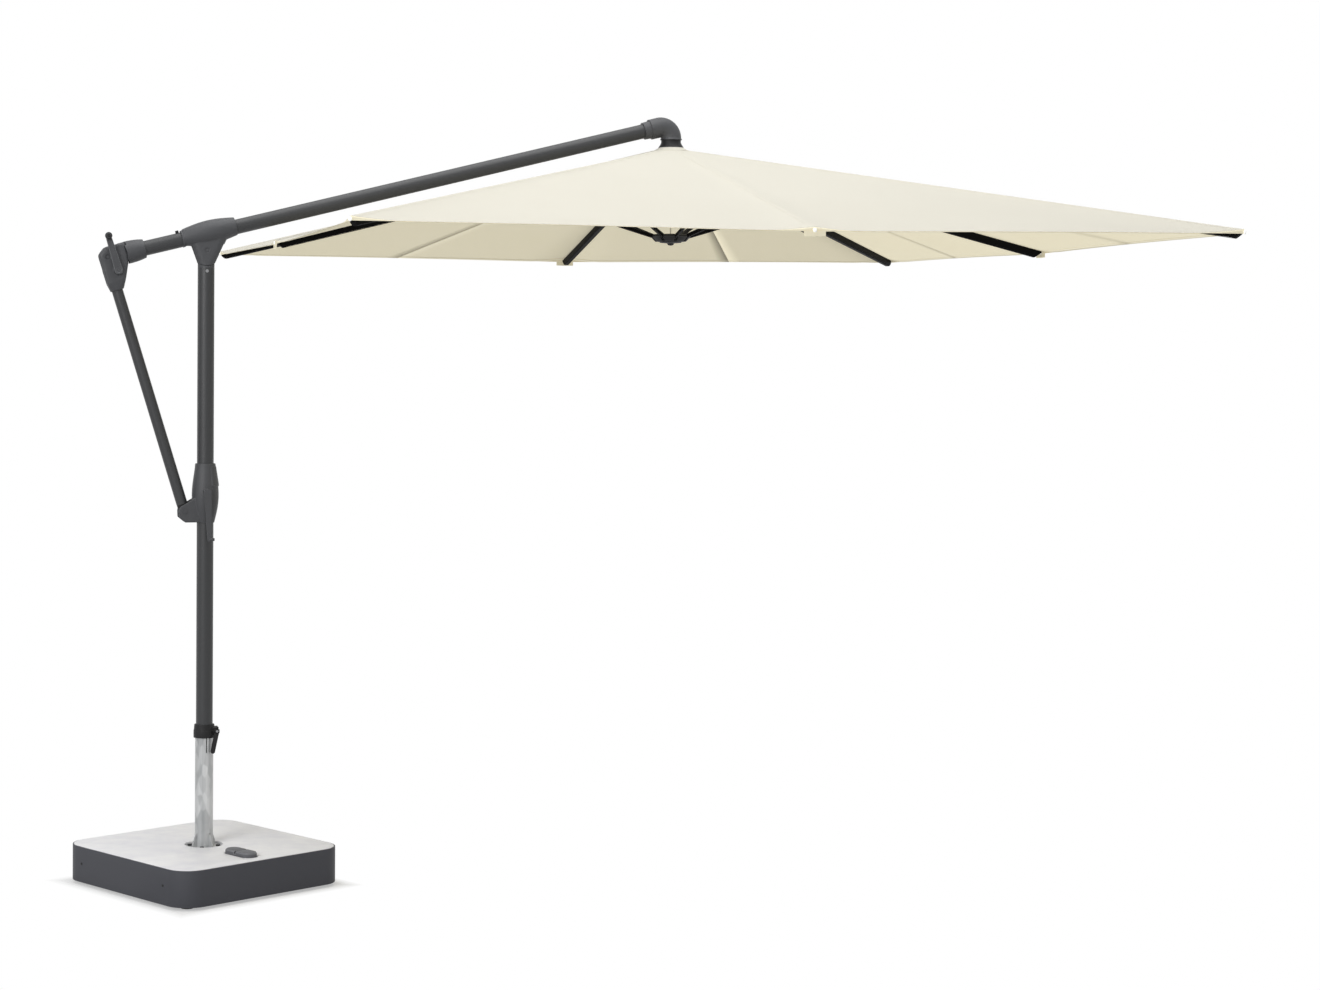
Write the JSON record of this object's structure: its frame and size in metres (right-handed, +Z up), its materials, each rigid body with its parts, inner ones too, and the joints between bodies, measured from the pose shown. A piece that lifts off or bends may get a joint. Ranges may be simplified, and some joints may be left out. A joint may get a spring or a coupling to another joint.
{
  "type": "cantilever parasol",
  "caption": "Free-standing cantilever parasol with a square folding canopy hung from a tilting side arm, a swivelling mast and a weighted square base.",
  "frame": {"origin": "on the floor, under the mast axis, at the centre of the base", "axes": "+X along the arm from the mast towards the canopy, +Z up, +Y to the far side"},
  "size_m": [3.3251, 2.6936, 2.5043],
  "materials": {
    "anthracite": "satin anthracite powder coat on aluminium",
    "rib_black": "dark anodised aluminium bars",
    "black_plastic": "fine matt moulded plastic",
    "base_coat": "matt anthracite powder coat on sheet steel",
    "galvanised": "hot dip galvanised steel",
    "steel_pin": "bright stainless steel",
    "stone_plate": "pale matt stoneware plate with soft cloudy mottling",
    "concrete": "cast concrete",
    "foot_rubber": "black rubber",
    "canopy_cloth": "woven ecru cloth",
    "cord_white": "braided polyester cord"
  },
  "bodies": {
    "base": {"base_skirt": "base_coat", "base_tray": "base_coat", "base_feet": "foot_rubber", "ballast_slabs": "concrete", "top_plate": "stone_plate", "skirt_screws": "base_coat", "tube_pedestal": "base_coat", "base_tube": "galvanised", "flange_bolts": "galvanised", "clamp_collar": "black_plastic", "clamp_bolt": "steel_pin", "pedal_box": "black_plastic", "pedal_pin": "steel_pin"},
    "clamp_lever": {"clamp_lever": "black_plastic"},
    "pedal": {"pedal": "black_plastic"},
    "mast": {"mast_tube": "anthracite", "mast_head": "anthracite", "mast_head_bolt": "steel_pin"},
    "slider": {"slider_casing": "anthracite", "strut_pin": "steel_pin", "lever_pin": "steel_pin"},
    "lock_lever": {"lock_lever": "black_plastic"},
    "carrier": {"tee_housing": "anthracite", "tilt_pin": "steel_pin", "rear_housing": "anthracite"},
    "strut": {"strut_tube": "anthracite", "strut_head": "anthracite", "strut_foot": "black_plastic", "rear_pin": "steel_pin"},
    "crank": {"crank_shaft": "steel_pin", "crank_arm": "black_plastic", "crank_knob": "black_plastic"},
    "arm": {"arm_tube": "anthracite", "roll_stop": "black_plastic", "crown_elbow": "anthracite", "crown_hub": "black_plastic", "rib_pins": "steel_pin", "neck_collar": "black_plastic", "lift_cord": "cord_white", "canopy": "canopy_cloth"},
    "runner": {"runner": "black_plastic", "runner_cap": "anthracite"},
    "rib_front": {"rib_front": "rib_black"},
    "stay_front": {"stay_front": "rib_black"},
    "rib_front_far": {"rib_front_far": "rib_black"},
    "stay_front_far": {"stay_front_far": "rib_black"},
    "rib_far": {"rib_far": "rib_black"},
    "stay_far": {"stay_far": "rib_black"},
    "rib_rear_far": {"rib_rear_far": "rib_black"},
    "stay_rear_far": {"stay_rear_far": "rib_black"},
    "rib_rear": {"rib_rear": "rib_black"},
    "stay_rear": {"stay_rear": "rib_black"},
    "rib_rear_near": {"rib_rear_near": "rib_black"},
    "stay_rear_near": {"stay_rear_near": "rib_black"},
    "rib_near": {"rib_near": "rib_black"},
    "stay_near": {"stay_near": "rib_black"},
    "rib_front_near": {"rib_front_near": "rib_black"},
    "stay_front_near": {"stay_front_near": "rib_black"}
  },
  "joints": [
    {"name": "mast_swivel", "type": "hinge", "parent": "base", "child": "mast", "pos_m": [0, 0, 0.3], "axis": [0, 0, 1], "continuous": true},
    {"name": "clamp_lever_swing", "type": "hinge", "parent": "base", "child": "clamp_lever", "pos_m": [0.0373, -0.031, 0.492], "axis": [-1, 0, 0], "range_deg": [0, 100]},
    {"name": "pedal_rock", "type": "hinge", "parent": "base", "child": "pedal", "pos_m": [0.09401, -0.19283, 0.105], "axis": [0.866, 0.5, 0], "range_deg": [-5, 5]},
    {"name": "arm_tilt", "type": "hinge", "parent": "mast", "child": "carrier", "pos_m": [0, 0, 2.04], "axis": [0, 1, 0], "range_deg": [0, 20]},
    {"name": "slider_slide", "type": "slide", "parent": "mast", "child": "slider", "axis": [0, 0, 1], "range_m": [0, 0.1072]},
    {"name": "lock_lever_swing", "type": "hinge", "parent": "slider", "child": "lock_lever", "pos_m": [0, -0.054, 1.262], "axis": [-1, 0, 0], "range_deg": [0, 50]},
    {"name": "strut_swing", "type": "hinge", "parent": "carrier", "child": "strut", "pos_m": [-0.318, 0, 2.0143], "axis": [0, 1, 0], "range_deg": [-19.3, 0]},
    {"name": "crank_turn", "type": "hinge", "parent": "strut", "child": "crank", "pos_m": [-0.28516, 0, 1.97208], "axis": [0, 1, 0], "range_deg": [0, 2341]},
    {"name": "arm_roll", "type": "hinge", "parent": "carrier", "child": "arm", "pos_m": [0, 0, 2.093], "axis": [0.9707, 0, 0.2402], "range_deg": [-20, 20]},
    {"name": "fold_front", "type": "hinge", "parent": "arm", "child": "rib_front", "pos_m": [1.615, 0, 2.3763], "axis": [0, 1, 0], "range_deg": [0, 74.15]},
    {"name": "stay_swing_front", "type": "hinge", "parent": "rib_front", "child": "stay_front", "pos_m": [2.07645, 0, 2.2393], "axis": [0, 1, 0], "range_deg": [-148.29, 0]},
    {"name": "fold_front_far", "type": "hinge", "parent": "arm", "child": "rib_front_far", "pos_m": [1.60035, 0.03535, 2.3763], "axis": [-0.7071, 0.7071, 0], "range_deg": [0, 78.57], "deforming": ["canopy", "lift_cord"]},
    {"name": "stay_swing_front_far", "type": "hinge", "parent": "rib_front_far", "child": "stay_front_far", "pos_m": [1.92564, 0.36064, 2.27715], "axis": [-0.7071, 0.7071, 0], "range_deg": [-148.48, 0]},
    {"name": "fold_far", "type": "hinge", "parent": "arm", "child": "rib_far", "pos_m": [1.565, 0.05, 2.3763], "axis": [-1, 0, 0], "range_deg": [0, 74.15]},
    {"name": "stay_swing_far", "type": "hinge", "parent": "rib_far", "child": "stay_far", "pos_m": [1.565, 0.51145, 2.2393], "axis": [-1, 0, 0], "range_deg": [-148.29, 0]},
    {"name": "fold_rear_far", "type": "hinge", "parent": "arm", "child": "rib_rear_far", "pos_m": [1.52964, 0.03535, 2.3763], "axis": [-0.7071, -0.7071, 0], "range_deg": [0, 78.58]},
    {"name": "stay_swing_rear_far", "type": "hinge", "parent": "rib_rear_far", "child": "stay_rear_far", "pos_m": [1.20436, 0.36064, 2.27715], "axis": [-0.7071, -0.7071, 0], "range_deg": [-148.48, 0]},
    {"name": "fold_rear", "type": "hinge", "parent": "arm", "child": "rib_rear", "pos_m": [1.515, 0, 2.3763], "axis": [0, -1, 0], "range_deg": [0, 74.15]},
    {"name": "stay_swing_rear", "type": "hinge", "parent": "rib_rear", "child": "stay_rear", "pos_m": [1.05355, 0, 2.2393], "axis": [0, -1, 0], "range_deg": [-148.29, 0]},
    {"name": "fold_rear_near", "type": "hinge", "parent": "arm", "child": "rib_rear_near", "pos_m": [1.52964, -0.03535, 2.3763], "axis": [0.7071, -0.7071, 0], "range_deg": [0, 78.58]},
    {"name": "stay_swing_rear_near", "type": "hinge", "parent": "rib_rear_near", "child": "stay_rear_near", "pos_m": [1.20436, -0.36064, 2.27715], "axis": [0.7071, -0.7071, 0], "range_deg": [-148.48, 0]},
    {"name": "fold_near", "type": "hinge", "parent": "arm", "child": "rib_near", "pos_m": [1.565, -0.05, 2.3763], "axis": [1, 0, 0], "range_deg": [0, 74.15]},
    {"name": "stay_swing_near", "type": "hinge", "parent": "rib_near", "child": "stay_near", "pos_m": [1.565, -0.51145, 2.2393], "axis": [1, 0, 0], "range_deg": [-148.29, 0]},
    {"name": "fold_front_near", "type": "hinge", "parent": "arm", "child": "rib_front_near", "pos_m": [1.60035, -0.03535, 2.3763], "axis": [0.7071, 0.7071, 0], "range_deg": [0, 78.58]},
    {"name": "stay_swing_front_near", "type": "hinge", "parent": "rib_front_near", "child": "stay_front_near", "pos_m": [1.92564, -0.36064, 2.27715], "axis": [0.7071, 0.7071, 0], "range_deg": [-148.48, 0]},
    {"name": "runner_slide", "type": "slide", "parent": "arm", "child": "runner", "axis": [0, 0, -1], "range_m": [0, 0.6887]}
  ],
  "couplings": [
    {"joint": "slider_slide", "follows": "arm_tilt", "m_per_rad": 0.30708},
    {"joint": "strut_swing", "follows": "arm_tilt", "ratio": -0.96352},
    {"joint": "fold_front", "follows": "fold_front_far", "ratio": 0.94358},
    {"joint": "stay_swing_front", "follows": "fold_front_far", "ratio": -1.8872},
    {"joint": "stay_swing_front_far", "follows": "fold_front_far", "ratio": -1.8895},
    {"joint": "fold_far", "follows": "fold_front_far", "ratio": 0.94358},
    {"joint": "stay_swing_far", "follows": "fold_front_far", "ratio": -1.8872},
    {"joint": "fold_rear_far", "follows": "fold_front_far", "ratio": 1},
    {"joint": "stay_swing_rear_far", "follows": "fold_front_far", "ratio": -1.8895},
    {"joint": "fold_rear", "follows": "fold_front_far", "ratio": 0.94358},
    {"joint": "stay_swing_rear", "follows": "fold_front_far", "ratio": -1.8872},
    {"joint": "fold_rear_near", "follows": "fold_front_far", "ratio": 1},
    {"joint": "stay_swing_rear_near", "follows": "fold_front_far", "ratio": -1.8895},
    {"joint": "fold_near", "follows": "fold_front_far", "ratio": 0.94358},
    {"joint": "stay_swing_near", "follows": "fold_front_far", "ratio": -1.8872},
    {"joint": "fold_front_near", "follows": "fold_front_far", "ratio": 1},
    {"joint": "stay_swing_front_near", "follows": "fold_front_far", "ratio": -1.8895},
    {"joint": "runner_slide", "follows": "fold_front_far", "m_per_rad": 0.50214},
    {"joint": "crank_turn", "follows": "fold_front_far", "ratio": 29.78}
  ]
}
